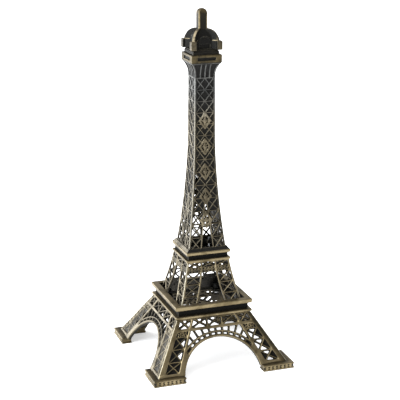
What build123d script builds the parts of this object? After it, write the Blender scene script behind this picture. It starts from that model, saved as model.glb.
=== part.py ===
from build123d import *
import math
import os

# Souvenir lattice tower in antique-bronze die-cast alloy, built up in three tiers.
# Millimetres. The origin is the centre of the square base, on the surface that the tower
# stands on. +Z is up, and the face with the ornaments looks along -Y.
# "half" is a half width: the distance from the tower's axis to a face.

# ---- driving dimensions --------------------------------------------------------------
HEIGHT = 380.0
BASE_HALF = 79.0

# feet: four L-shaped plinths
FOOT_LENGTH = 35.6
FOOT_DEPTH = 11.6
FOOT_HEIGHT = 6.9
FOOT_CHAMFER = 0.9

# base tier: four flat leaning panels, each with an arch between two legs
BASE_TOP = 57.0
LEAN = 31.6
BASE_HALF_AT_GROUND = 76.8
BASE_THICKNESS = 4.0
ARCH_RADIUS = 43.0
ARCH_CENTRE = 1.0
ARCH_PITCH = 8.3
RING_HOLES = (45.6, 48.2)
RING_HOLE_PAIRS = 6
SPANDREL_RADIUS = 49.6
SPANDREL_PAIRS = 4
STRUT = 1.9
BAND = (45.6, 48.4)
LEG_ROWS = (9.4, 19.2, 30.4, 41.0)
POST_AT = 8.2
POST = 1.5
BASE_BAR = 1.2
RIB_OUTER = ((25.7, 55.6), (49.8, 8.1))
RIB_INNER = ((23.2, 55.4), (37.7, 25.3))
CORNER_INNER = ((36.7, 57.0), (64.6, 9.0))
BASE_WEB = 1.4
WEB_LAP = 0.9

# first platform: a plate, a recessed collar and a deck
PLATE_HALF = 43.5
PLATE = 2.8
PLATE_OPENING = (34.0, 24.0)
COLLAR_HALF = 39.9
COLLAR_WALL = 2.5
COLLAR_HEIGHT = 6.9
DECK_FOOT = BASE_TOP + PLATE + COLLAR_HEIGHT
DECK_HALF = 43.7
DECK_OPENING = 38.3
DECK_HEIGHT = 4.7
DECK_BEVEL = 0.7

# middle tier: four curved panels that stand on the first plate, inside the collar
MIDDLE_FOOT = BASE_TOP + PLATE
MIDDLE_TOP = 112.8
MIDDLE_HALVES = (37.1, 28.8, 23.8)
MIDDLE_KNEE = 88.5
MIDDLE_THICKNESS = 2.6
MIDDLE_WEB = 0.9
MIDDLE_BLIND_UP_TO = 72.0
MIDDLE_ROWS = (65.0, 77.2, 89.0, 101.0)
MIDDLE_BAR = 1.1
MIDDLE_RIB = (7.0, 0.05, 0.0036)
MIDDLE_RIB_WIDTH = 1.4
MIDDLE_CORNER = (21.7, 0.17, 0.0016)
MIDDLE_SILL = 2.4
FRIEZE = (101.0, 106.5)
BAY_STEPS = 4

# second platform, with a sloping skirt round the foot of the shaft
UPPER_PLATE_HALF = 25.1
UPPER_PLATE = 2.6
UPPER_OPENING = (18.5, 11.0)
UPPER_COLLAR_HALF = 22.6
UPPER_COLLAR_WALL = 2.4
UPPER_COLLAR_HEIGHT = 5.1
UPPER_DECK_FOOT = MIDDLE_TOP + UPPER_PLATE + UPPER_COLLAR_HEIGHT
UPPER_DECK_HEIGHT = 3.6
SKIRT_HEIGHT = 3.0
SKIRT_TOP_HALF = 21.9

# shaft: four slender panels, curved below and nearly upright above
SHAFT_FOOT = UPPER_DECK_FOOT + UPPER_DECK_HEIGHT
SHAFT_TOP = 308.8
SHAFT_HALVES = (21.3, 15.6, 11.6, 11.2)
SHAFT_KNEES = (173.0, 240.0)
SHAFT_THICKNESS = 2.2
SHAFT_WEB = 0.9
FRONT_BLIND_FROM = (166.4, 166.4)
BACK_BLIND_FROM = (208.7, 208.7)
SIDE_BLIND_FROM = 152.3
SHAFT_SILL = 3.0
SHAFT_BAR = 1.0
SHAFT_RIB = 1.2
CORNER_RIB = 1.9
ROW_RUNS = ((6, 14.1), (2, 13.6), (6, 12.15))
LEGS_MEET = 182.0
LEG_SPREAD = 0.114
ORNAMENTS = (157.0, 182.5, 209.0, 236.0, 264.0)
ORNAMENT_SIZE = (12.6, 16.0)
ORNAMENT_RING = 1.6

# crown: fluted neck, gallery box, domed lantern and mast
NECK_TOP = 324.9
NECK_HALF = 11.2
NECK_STRAIGHT = 2.0
NECK_MIDDLE = (12.3, 318.6)
NECK_FLARE = 16.0
NECK_LID = 3.0
FLUTE_DEPTH = 0.9
FLUTE_RIB = 1.3
RIB_PITCH = 5.0
GALLERY_TOP = 333.8
GALLERY_HALF = 16.6
GALLERY_BEVEL = 0.5
GALLERY_PANEL = (20.2, 3.2)
GALLERY_SINK = 1.2
GALLERY_WALL = 3.0
GALLERY_FLOOR = 2.0
STEP_TOP = 338.4
STEP_HALF = 14.4
BLOCK_TOP = 347.7
BLOCK = 6.0
BLOCK_HALF = 17.0
ARM = 4.6
DOME_HALF = 10.4
DOME_TOP = 359.7
VAULT_KNEE = (8.9, 354.6)
RIB = 3.4
RIB_FOOT = 20.0
RIB_KNEE = (16.5, 356.2)
MAST_HALF = 4.9
MAST_ROUND = 1.7
MAST_DOME = 6.0
SPIGOT = (2.4, 5.0)

# screws and the lugs that they turn into, each lug as (inner, outer, back, height)
SCREW_RADIUS = 1.5
SCREW_HEAD = (2.9, 1.8)
SCREW_RUN = 0.05
MIDDLE_LUG = (25.5, 32.3, 34.8, 6.0)
MIDDLE_SCREW_AT = 28.9
MIDDLE_SCREW_END = MIDDLE_FOOT + 5.0
SHAFT_LUG = (12.0, 17.9, 19.5, 3.0)
SHAFT_SCREW_AT = 14.6
SHAFT_SCREW_END = SHAFT_FOOT + 2.6
CROWN_SCREW = 2.0
CROWN_HEAD = (3.6, 2.2)
CROWN_SCREW_END = 345.0

FAR = 120.0


# ---- plane geometry helpers ----------------------------------------------------------
def cross_point(a, b, c, d):
    """Where the line through a and b meets the line through c and d."""
    rx, ry = b[0] - a[0], b[1] - a[1]
    sx, sy = d[0] - c[0], d[1] - c[1]
    t = ((c[0] - a[0]) * sy - (c[1] - a[1]) * sx) / (rx * sy - ry * sx)
    return (a[0] + t * rx, a[1] + t * ry)


def inset(points, margins):
    """Move each edge of an anticlockwise polygon inwards by its own margin."""
    edges = []
    for i, margin in enumerate(margins):
        a, b = points[i], points[(i + 1) % len(points)]
        length = math.hypot(b[0] - a[0], b[1] - a[1])
        nx, ny = -(b[1] - a[1]) / length * margin, (b[0] - a[0]) / length * margin
        edges.append(((a[0] + nx, a[1] + ny), (b[0] + nx, b[1] + ny)))
    return [cross_point(*edges[i - 1], *edges[i]) for i in range(len(edges))]


def on_line(a, b, height):
    """The point at a height on the line through a and b."""
    t = (height - a[1]) / (b[1] - a[1])
    return (a[0] + t * (b[0] - a[0]), height)


def x_cell(corners, bar):
    """The four triangular holes that an X of bars leaves in a four-sided opening."""
    centre = cross_point(corners[0], corners[2], corners[1], corners[3])
    holes = []
    for i in range(4):
        triangle = [corners[i], corners[(i + 1) % 4], centre]
        holes.append(inset(triangle, (0.0, bar / 2, bar / 2)))
    return holes


def centred_cell(half_at, low, high):
    """A four-sided opening astride the centre line, as wide as half_at says at each height."""
    return [(-half_at(low), low), (half_at(low), low), (half_at(high), high), (-half_at(high), high)]


def mirrored(points):
    return [(-x, y) for x, y in reversed(points)]


def both_sides(holes):
    return holes + [mirrored(hole) for hole in holes]


def plate_with_holes(outline, holes):
    outer = Wire.make_polygon([Vector(*p) for p in outline], close=True)
    inner = [Wire.make_polygon([Vector(*p) for p in hole], close=True) for hole in holes]
    return Face(outer, inner)


# ---- solid helpers -------------------------------------------------------------------
def block(half, low, high):
    """A square block centred on the tower's axis."""
    return Pos(0, 0, (low + high) / 2) * Box(2 * half, 2 * half, high - low)


def square_ring(half, opening, low, high):
    return block(half, low, high) - block(opening, low - 1, high + 1)


def cross_shaft(long, short, low, high):
    """A cross-shaped cutter that leaves a square plate its four corner gussets."""
    arm = Pos(0, 0, (low + high) / 2) * Box(2 * long, 2 * short, high - low + 2)
    return arm + Rot(0, 0, 90) * arm


def upright(x, y, radius, low, high):
    """A round bar that stands on z = low."""
    return Pos(x, y, (low + high) / 2) * Cylinder(radius, high - low)


def bars_at_corners(offset, radius, low, high):
    """Four round bars, one near each corner of the tower."""
    return [upright(x, y, radius, low, high) for x in (-offset, offset) for y in (-offset, offset)]


def drilled(shape, cutters):
    for cutter in cutters:
        shape -= cutter
    return shape


def front_wedge(low, high):
    """The quarter of space that belongs to the front panel, up to the corner mitres."""
    wedge = make_face(Polyline((0, 0), (-FAR, -FAR), (FAR, -FAR), close=True))
    return Pos(0, 0, low) * extrude(wedge, high - low)


def square_solid(side):
    """A square-plan solid whose four sides all follow one curve, drawn as (half, z)."""
    other = mirror(side, about=Plane.YZ)
    low = Line(side @ 0, other @ 0)
    high = Line(side @ 1, other @ 1)
    profile = make_face([*side.edges(), *other.edges(), low, high])
    slab = extrude(Plane.XZ * profile, FAR, both=True)
    return slab & (Rot(0, 0, 90) * slab)


def curved_wall(face, thickness):
    """A wall that follows a curve drawn as (depth, z), extruded across the tower."""
    back = Pos(thickness, 0, 0) * face
    ends = [Line(face @ 0, back @ 0), Line(face @ 1, back @ 1)]
    profile = make_face([*face.edges(), *back.edges(), *ends])
    return extrude(Plane.YZ * profile, FAR, both=True)


def openwork(holes, low, high):
    """A deep upright block in front of the tower, pierced by the holes."""
    outline = [(-FAR, low), (FAR, low), (FAR, high), (-FAR, high)]
    return extrude(Plane.XZ * plate_with_holes(outline, holes), FAR)


def with_lugs(panel, lug, screw_at, low):
    """A front panel with a drilled screw lug cast inside each of its lower corners."""
    inner, outer, back, height = lug
    solid = Box(outer - inner, back - inner, height, align=(Align.MIN, Align.MAX, Align.MIN))
    right = Pos(inner, -inner, low) * solid
    panel = panel + right + mirror(right, about=Plane.YZ)
    return drilled(panel, bars_at_corners(screw_at, SCREW_RADIUS + SCREW_RUN, 0, HEIGHT))


# ---- feet ----------------------------------------------------------------------------
def foot():
    """The L-shaped plinth under the front left corner, tapering a little upwards."""
    inner = BASE_HALF - FOOT_LENGTH
    wall = BASE_HALF - FOOT_DEPTH
    outline = Polyline(
        (-BASE_HALF, -BASE_HALF), (-inner, -BASE_HALF), (-inner, -wall),
        (-wall, -wall), (-wall, -inner), (-BASE_HALF, -inner), close=True)
    prism = extrude(make_face(outline), FOOT_HEIGHT)
    return chamfer(prism.faces().sort_by(Axis.Z)[-1].edges(), FOOT_CHAMFER)


# ---- base tier -----------------------------------------------------------------------
def slope_height(z):
    """Distance up the leaning face of the base tier at height z."""
    return z / math.cos(math.radians(LEAN))


def polar(radius, degrees):
    """A point round the arch's centre, with 0 degrees at the crown."""
    angle = math.radians(degrees)
    return (radius * math.sin(angle), ARCH_CENTRE + radius * math.cos(angle))


def ring_holes():
    """The row of small openings in the arch ring, right half."""
    edge = math.degrees(STRUT / 2 / RING_HOLES[0])
    holes = []
    for step in range(RING_HOLE_PAIRS):
        start, end = step * ARCH_PITCH + edge, (step + 1) * ARCH_PITCH - edge
        holes.append([polar(RING_HOLES[0], start), polar(RING_HOLES[0], end),
                      polar(RING_HOLES[1], end), polar(RING_HOLES[1], start)])
    return holes


def spandrel_holes(rib):
    """The openings between the radial struts, right half, up to the band or the leg's rib."""
    edge = math.degrees(STRUT / 2 / SPANDREL_RADIUS)
    ceiling = slope_height(BAND[0])
    corner = on_line(*rib, ceiling)
    holes = []
    for step in range(SPANDREL_PAIRS):
        low_start = polar(SPANDREL_RADIUS, step * ARCH_PITCH + edge)
        low_end = polar(SPANDREL_RADIUS, (step + 1) * ARCH_PITCH - edge)
        high_start = cross_point(polar(0, 0), low_start, (0, ceiling), (1, ceiling))
        high_end = cross_point(polar(0, 0), low_end, (0, ceiling), (1, ceiling))
        if high_end[0] < corner[0]:
            holes.append([low_start, low_end, high_end, high_start])
        else:
            high_end = cross_point(polar(0, 0), low_end, *rib)
            holes.append([low_start, low_end, high_end, corner, high_start])
    return holes


def leg_cell(rib, corner, low, high):
    """One braced opening of a base leg."""
    cell = [on_line(*rib, low), on_line(*corner, low), on_line(*corner, high), on_line(*rib, high)]
    return x_cell(cell, BASE_BAR)


def on_slope(line):
    """A line drawn as (x, z), in the leaning face's own plane."""
    return tuple((x, slope_height(z)) for x, z in line)


def leg_web():
    """The sheet that closes the left leg from behind, apart from two triangles beside the arch."""
    rib, corner = on_slope(RIB_OUTER), on_slope(CORNER_INNER)
    low, high = slope_height(LEG_ROWS[0]) - WEB_LAP, slope_height(LEG_ROWS[-1]) + WEB_LAP
    outline = [
        (on_line(*rib, low)[0] - WEB_LAP, low), (on_line(*corner, low)[0] + WEB_LAP, low),
        (on_line(*corner, high)[0] + WEB_LAP, high), (on_line(*rib, high)[0] - WEB_LAP, high)]
    bar = BASE_BAR / 2
    pierced = []
    for low, high in zip(LEG_ROWS[1:], LEG_ROWS[2:]):
        pierced.append(leg_cell(rib, corner, slope_height(low) + bar, slope_height(high) - bar)[3])
    return plate_with_holes(mirrored(outline), [mirrored(hole) for hole in pierced])


def base_holes():
    """The openwork of one base panel, in its own plane: x across, y up the slope."""
    rib_outer, rib_inner, corner = on_slope(RIB_OUTER), on_slope(RIB_INNER), on_slope(CORNER_INNER)
    bar = BASE_BAR / 2
    holes = ring_holes() + spandrel_holes(rib_inner)
    for low, high in zip(LEG_ROWS, LEG_ROWS[1:]):
        holes += leg_cell(rib_outer, corner, slope_height(low) + bar, slope_height(high) - bar)
    low, high = slope_height(BAND[1]), slope_height(BASE_TOP) - BASE_BAR
    holes += leg_cell(rib_outer, corner, low, high)
    post = POST_AT + POST / 2
    holes += leg_cell(((post, low), (post, high)), rib_inner, low, high)
    post -= POST
    middle = [(-post, low), (post, low), (post, high), (-post, high)]
    return both_sides(holes) + x_cell(middle, BASE_BAR)


def base_panel(closed):
    """The front panel of the base tier: an arch between two legs, the left one closed by a web.

    A closed panel has a web behind its right leg as well.
    """
    low, high = slope_height(FOOT_HEIGHT) - BASE_THICKNESS, slope_height(BASE_TOP) + BASE_THICKNESS
    outline = [(-FAR, low), (FAR, low), (FAR, high), (-FAR, high)]
    arch = Pos(0, ARCH_CENTRE) * Circle(ARCH_RADIUS)
    lean = math.radians(LEAN)
    face = Plane(origin=(0, -BASE_HALF_AT_GROUND, 0), x_dir=(1, 0, 0),
                 z_dir=(0, -math.cos(lean), math.sin(lean)))
    panel = extrude(face * (plate_with_holes(outline, base_holes()) - arch), -BASE_THICKNESS)
    web = extrude(face.offset(BASE_WEB - BASE_THICKNESS) * leg_web(), -BASE_WEB)
    panel += web
    if closed:
        panel += mirror(web, about=Plane.YZ)
    return panel & front_wedge(FOOT_HEIGHT, BASE_TOP)


# ---- middle tier ---------------------------------------------------------------------
def middle_rib(z):
    """Where the inner edge of a middle leg stands at height z."""
    drop = MIDDLE_TOP - z
    return MIDDLE_RIB[0] + MIDDLE_RIB[1] * drop + MIDDLE_RIB[2] * drop ** 2


def middle_corner(z):
    """The inner edge of the corner rib of the middle tier at height z."""
    drop = MIDDLE_TOP - z
    return MIDDLE_CORNER[0] + MIDDLE_CORNER[1] * drop + MIDDLE_CORNER[2] * drop ** 2


def middle_leg_cell(low, high):
    def inner(z):
        return middle_rib(z) + MIDDLE_RIB_WIDTH

    cell = [(inner(low), low), (middle_corner(low), low), (middle_corner(high), high), (inner(high), high)]
    return x_cell(cell, MIDDLE_BAR)


def middle_panel(closed):
    """The front panel of the middle tier: two braced legs, a frieze and a truss.

    A closed panel has a web behind its lowest row, across the opening between the legs.
    """
    bar = MIDDLE_BAR / 2
    holes = []
    for low, high in zip(MIDDLE_ROWS, MIDDLE_ROWS[1:]):
        holes += middle_leg_cell(low + bar, high - bar)
    low, high = FRIEZE[1] + bar, MIDDLE_TOP - MIDDLE_BAR
    holes += middle_leg_cell(low, high)
    holes = both_sides(holes)
    holes += x_cell(centred_cell(middle_rib, low, high), MIDDLE_BAR)
    sill = MIDDLE_FOOT + MIDDLE_SILL
    heights = [sill + (FRIEZE[0] - sill) * step / BAY_STEPS for step in range(BAY_STEPS + 1)]
    holes.append([(middle_rib(z), z) for z in heights] + [(-middle_rib(z), z) for z in reversed(heights)])
    face = ThreePointArc((-MIDDLE_HALVES[0], MIDDLE_FOOT), (-MIDDLE_HALVES[1], MIDDLE_KNEE),
                         (-MIDDLE_HALVES[2], MIDDLE_TOP))
    panel = openwork(holes, MIDDLE_FOOT, MIDDLE_TOP) & curved_wall(face, MIDDLE_THICKNESS)
    if closed:
        back = curved_wall(Pos(MIDDLE_THICKNESS - MIDDLE_WEB, 0, 0) * face, MIDDLE_WEB)
        panel += back & front_wedge(MIDDLE_FOOT, MIDDLE_BLIND_UP_TO)
    return panel & front_wedge(MIDDLE_FOOT, MIDDLE_TOP)


# ---- shaft ---------------------------------------------------------------------------
def row_levels():
    """Heights of the shaft's horizontal bars, closer together towards the top."""
    levels = [SHAFT_FOOT]
    for count, pitch in ROW_RUNS:
        for _ in range(count):
            levels.append(levels[-1] + pitch)
    return levels


def shaft_half(z):
    """Half width of the shaft at height z: an arc below, a straight taper above."""
    if z >= SHAFT_KNEES[1]:
        rise = (z - SHAFT_KNEES[1]) / (SHAFT_TOP - SHAFT_KNEES[1])
        return SHAFT_HALVES[2] + rise * (SHAFT_HALVES[3] - SHAFT_HALVES[2])
    arc = ThreePointArc((SHAFT_HALVES[0], SHAFT_FOOT), (SHAFT_HALVES[1], SHAFT_KNEES[0]),
                        (SHAFT_HALVES[2], SHAFT_KNEES[1]))
    centre = arc.arc_center
    return centre.X - math.sqrt(arc.radius ** 2 - (z - centre.Y) ** 2)


def leg_gap(z):
    """Half the gap between the two legs of a shaft face at height z."""
    return LEG_SPREAD * (LEGS_MEET - z)


def shaft_holes(braced):
    """The openwork of a shaft face, with or without an X between the legs at the bottom."""
    bar = SHAFT_BAR / 2
    holes = []
    middle = []
    levels = row_levels()
    for low, high in zip(levels, levels[1:]):
        low, high = max(low + bar, SHAFT_FOOT + SHAFT_SILL), high - bar
        edges = [(shaft_half(low) - CORNER_RIB, low), (shaft_half(high) - CORNER_RIB, high)]
        if leg_gap(high) > 0:
            inner = [(leg_gap(low) + SHAFT_RIB, low), (leg_gap(high) + SHAFT_RIB, high)]
            holes += x_cell([inner[0], *edges, inner[1]], SHAFT_BAR)
            if leg_gap(high) > SHAFT_BAR:
                gap = centred_cell(leg_gap, low, high)
                middle += x_cell(gap, SHAFT_BAR) if braced else [gap]
        else:
            *side, wedge = x_cell([(0, low), *edges, (0, high)], SHAFT_BAR)
            holes += side
            tip = max(wedge)
            ends = sorted((z for x, z in wedge if (x, z) != tip))
            middle.append([(0, ends[0]), tip, (0, ends[1]), (-tip[0], tip[1])])
    return both_sides(holes) + middle


def lozenge(width, height, centre):
    return [(0, centre - height / 2), (width / 2, centre), (0, centre + height / 2), (-width / 2, centre)]


def ornament(centre):
    """An openwork lozenge with a bar down its middle, in place of the lettering."""
    width, height = ORNAMENT_SIZE
    low, side, high, _ = lozenge(width, height, centre)
    hole = inset([low, side, high], (ORNAMENT_RING, ORNAMENT_RING, ORNAMENT_RING / 2))
    frame = plate_with_holes(lozenge(width, height, centre), both_sides([hole]))
    return extrude(Plane.XZ * frame, FAR)


def shaft_panel(ornamented, blind_from):
    """A shaft panel. The ornamented one is open between its legs at the bottom.

    A web closes its left and its right column from behind, each from its own height up.
    """
    arc = ThreePointArc((-SHAFT_HALVES[0], SHAFT_FOOT), (-SHAFT_HALVES[1], SHAFT_KNEES[0]),
                        (-SHAFT_HALVES[2], SHAFT_KNEES[1]))
    straight = Line(arc @ 1, (-SHAFT_HALVES[3], SHAFT_TOP))
    wall = curved_wall(Curve() + [arc, straight], SHAFT_THICKNESS)
    panel = openwork(shaft_holes(braced=not ornamented), SHAFT_FOOT, SHAFT_TOP) & wall
    if ornamented:
        for centre in ORNAMENTS:
            panel += ornament(centre) & wall
    back = curved_wall(Pos(SHAFT_THICKNESS - SHAFT_WEB, 0, 0) * (Curve() + [arc, straight]), SHAFT_WEB)
    for side, low in zip((-1, 1), blind_from):
        column = Pos(side * FAR / 2, 0, (low + SHAFT_TOP) / 2) * Box(FAR, 2 * FAR, SHAFT_TOP - low)
        panel += back & column & front_wedge(SHAFT_FOOT, SHAFT_TOP)
    return panel & front_wedge(SHAFT_FOOT, SHAFT_TOP)


# ---- platforms -----------------------------------------------------------------------
def first_plate():
    plate = block(PLATE_HALF, BASE_TOP, BASE_TOP + PLATE)
    plate -= cross_shaft(*PLATE_OPENING, BASE_TOP, BASE_TOP + PLATE)
    return drilled(plate, bars_at_corners(MIDDLE_SCREW_AT, SCREW_RADIUS + SCREW_RUN, 0, HEIGHT))


def deck(half, low, height):
    """A platform's slab with a bevelled upper edge."""
    slab = block(half, low, low + height)
    return chamfer(slab.faces().sort_by(Axis.Z)[-1].edges(), DECK_BEVEL)


def first_deck():
    opening = block(DECK_OPENING, DECK_FOOT - 1, DECK_FOOT + DECK_HEIGHT + 1)
    return deck(DECK_HALF, DECK_FOOT, DECK_HEIGHT) - opening


def second_plate():
    plate = block(UPPER_PLATE_HALF, MIDDLE_TOP, MIDDLE_TOP + UPPER_PLATE)
    plate -= cross_shaft(*UPPER_OPENING, MIDDLE_TOP, MIDDLE_TOP + UPPER_PLATE)
    return drilled(plate, bars_at_corners(SHAFT_SCREW_AT, SCREW_RADIUS + SCREW_RUN, 0, HEIGHT))


def second_deck():
    plate = deck(UPPER_PLATE_HALF, UPPER_DECK_FOOT, UPPER_DECK_HEIGHT)
    plate -= cross_shaft(*UPPER_OPENING, UPPER_DECK_FOOT, SHAFT_FOOT)
    return drilled(plate, bars_at_corners(SHAFT_SCREW_AT, SCREW_RADIUS + SCREW_RUN, 0, HEIGHT))


def skirt():
    """The sloping skirt round the foot of the shaft."""
    side = Line((UPPER_PLATE_HALF - DECK_BEVEL, SHAFT_FOOT), (SKIRT_TOP_HALF, SHAFT_FOOT + SKIRT_HEIGHT))
    opening = SHAFT_HALVES[0] + SCREW_RUN
    return square_solid(side) - block(opening, SHAFT_FOOT - 1, SHAFT_FOOT + SKIRT_HEIGHT + 1)


def screws(offset, low, high):
    """Four pan-head screws that stand head down, one near each corner."""
    radius, head = SCREW_HEAD
    heads = bars_at_corners(offset, radius, low - head, low)
    shanks = bars_at_corners(offset, SCREW_RADIUS, low, high)
    return Compound([top + shank for top, shank in zip(heads, shanks)])


# ---- crown ---------------------------------------------------------------------------
def neck():
    """The fluted neck that flares out below the gallery."""
    curve = ThreePointArc((NECK_HALF, SHAFT_TOP + NECK_STRAIGHT), NECK_MIDDLE, (NECK_FLARE, NECK_TOP))
    side = Curve() + [Line((NECK_HALF, SHAFT_TOP), curve @ 0), curve]
    inner = Curve() + [Pos(-FLUTE_DEPTH, 0, 0) * edge for edge in side.edges()]
    outside = square_solid(side)
    body = square_solid(inner)
    for x in (-NECK_HALF, -RIB_PITCH, 0, RIB_PITCH, NECK_HALF):
        fin = Pos(x, 0, NECK_TOP) * Box(FLUTE_RIB, FAR, FAR) & outside
        body += fin
        body += Rot(0, 0, 90) * fin
    body += outside & block(FAR, NECK_TOP - FLUTE_DEPTH, NECK_TOP)
    body -= block(NECK_HALF - SHAFT_THICKNESS, SHAFT_TOP - 1, NECK_TOP - NECK_LID)
    return body - upright(0, 0, CROWN_SCREW + SCREW_RUN, 0, HEIGHT)


def gallery():
    """The square gallery box, with a sunken panel on each side."""
    box = block(GALLERY_HALF, NECK_TOP, GALLERY_TOP)
    box = chamfer(box.edges(), GALLERY_BEVEL)
    width, height = GALLERY_PANEL
    sunk = Box(width, 2 * GALLERY_SINK, height)
    centre = (NECK_TOP + GALLERY_TOP) / 2
    for turn in range(4):
        box -= Rot(0, 0, 90 * turn) * (Pos(0, -GALLERY_HALF, centre) * sunk)
    box -= block(GALLERY_HALF - GALLERY_WALL, NECK_TOP + GALLERY_FLOOR, GALLERY_TOP + 1)
    return box - upright(0, 0, CROWN_SCREW + SCREW_RUN, 0, HEIGHT)


def lantern_step():
    step = block(STEP_HALF, GALLERY_TOP, STEP_TOP)
    return step - upright(0, 0, CROWN_SCREW + SCREW_RUN, 0, HEIGHT)


def lantern():
    """The domed lantern: a square core, four diagonal arms with corner blocks, and ribs."""
    body = block(DOME_HALF, STEP_TOP, BLOCK_TOP)
    corner = BLOCK_HALF - BLOCK / 2
    for x in (-corner, corner):
        for y in (-corner, corner):
            body += Pos(x, y, (STEP_TOP + BLOCK_TOP) / 2) * Box(BLOCK, BLOCK, BLOCK_TOP - STEP_TOP)
    arm = Pos(0, 0, (STEP_TOP + BLOCK_TOP) / 2) * Box(2 * corner * math.sqrt(2), ARM, BLOCK_TOP - STEP_TOP)
    vault = ThreePointArc((DOME_HALF, BLOCK_TOP), VAULT_KNEE, (MAST_HALF, DOME_TOP))
    body += square_solid(vault)
    arch = ThreePointArc((RIB_FOOT, BLOCK_TOP), RIB_KNEE, (MAST_HALF, DOME_TOP))
    other = mirror(arch, about=Plane.YZ)
    outline = make_face([arch, other.edge(), Line(arch @ 0, other @ 0), Line(arch @ 1, other @ 1)])
    rib = extrude(Plane.XZ * outline, RIB / 2, both=True)
    for turn in (45, 135):
        body += Rot(0, 0, turn) * arm
        body += Rot(0, 0, turn) * rib
    body &= block(FAR, STEP_TOP, DOME_TOP)
    body -= upright(0, 0, CROWN_SCREW + SCREW_RUN, 0, CROWN_SCREW_END + SCREW_RUN)
    return body - upright(0, 0, SPIGOT[0] + SCREW_RUN, DOME_TOP - SPIGOT[1] - SCREW_RUN, HEIGHT)


def mast():
    """The square mast with rounded edges and a domed tip, on a round spigot."""
    post = block(MAST_HALF, DOME_TOP, HEIGHT)
    post = fillet(post.edges().filter_by(Axis.Z), MAST_ROUND)
    ball = Pos(0, 0, HEIGHT - MAST_DOME) * Sphere(MAST_DOME)
    post &= ball + upright(0, 0, 2 * MAST_HALF, 0, HEIGHT - MAST_DOME)
    return post + upright(0, 0, SPIGOT[0], DOME_TOP - SPIGOT[1], DOME_TOP + SPIGOT[1])


def crown_screw():
    radius, head = CROWN_HEAD
    low = NECK_TOP - NECK_LID
    return upright(0, 0, radius, low - head, low) + upright(0, 0, CROWN_SCREW, low, CROWN_SCREW_END)


# ---- the assembly --------------------------------------------------------------------
def round_the_tower(name, front, right, back, left):
    """Four panels, each drawn as a front one, turned to their own sides and named."""
    sides = {"front": front, "right": right, "back": back, "left": left}
    return {f"{name}_{side}": Rot(0, 0, 90 * turn) * sides[side] for turn, side in enumerate(sides)}


def all_parts():
    parts = {}
    corners = ("front_left", "front_right", "back_right", "back_left")
    for turn, corner in enumerate(corners):
        parts[f"foot_{corner}"] = Rot(0, 0, 90 * turn) * foot()
    panel = base_panel(closed=False)
    closed = base_panel(closed=True)
    parts |= round_the_tower("base_panel", panel, panel, closed, closed)
    parts["first_platform_plate"] = first_plate()
    parts["first_platform_collar"] = square_ring(
        COLLAR_HALF, COLLAR_HALF - COLLAR_WALL, BASE_TOP + PLATE, DECK_FOOT)
    parts["first_platform_deck"] = first_deck()
    panel = middle_panel(closed=False)
    front = with_lugs(panel, MIDDLE_LUG, MIDDLE_SCREW_AT, MIDDLE_FOOT)
    back = with_lugs(middle_panel(closed=True), MIDDLE_LUG, MIDDLE_SCREW_AT, MIDDLE_FOOT)
    parts |= round_the_tower("middle_panel", front, panel, back, panel)
    parts["second_platform_plate"] = second_plate()
    parts["second_platform_collar"] = square_ring(
        UPPER_COLLAR_HALF, UPPER_COLLAR_HALF - UPPER_COLLAR_WALL, MIDDLE_TOP + UPPER_PLATE, UPPER_DECK_FOOT)
    parts["second_platform_deck"] = second_deck()
    parts["shaft_skirt"] = skirt()
    side = shaft_panel(False, (SIDE_BLIND_FROM, SIDE_BLIND_FROM))
    front = with_lugs(shaft_panel(True, FRONT_BLIND_FROM), SHAFT_LUG, SHAFT_SCREW_AT, SHAFT_FOOT)
    back = with_lugs(shaft_panel(False, BACK_BLIND_FROM), SHAFT_LUG, SHAFT_SCREW_AT, SHAFT_FOOT)
    parts |= round_the_tower("shaft_panel", front, side, back, side)
    parts["crown_neck"] = neck()
    parts["crown_gallery"] = gallery()
    parts["lantern_step"] = lantern_step()
    parts["lantern_dome"] = lantern()
    parts["mast"] = mast()
    parts["middle_tier_screws"] = screws(MIDDLE_SCREW_AT, BASE_TOP, MIDDLE_SCREW_END)
    parts["shaft_screws"] = screws(SHAFT_SCREW_AT, MIDDLE_TOP, SHAFT_SCREW_END)
    parts["crown_screw"] = crown_screw()
    return parts


os.makedirs("parts", exist_ok=True)
for name, shape in all_parts().items():
    export_step(shape, f"parts/{name}.step")
    print(name, round(shape.volume, 1))
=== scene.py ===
import math
import bmesh
import bpy
import numpy as np
from mathutils import Matrix, Vector


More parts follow.
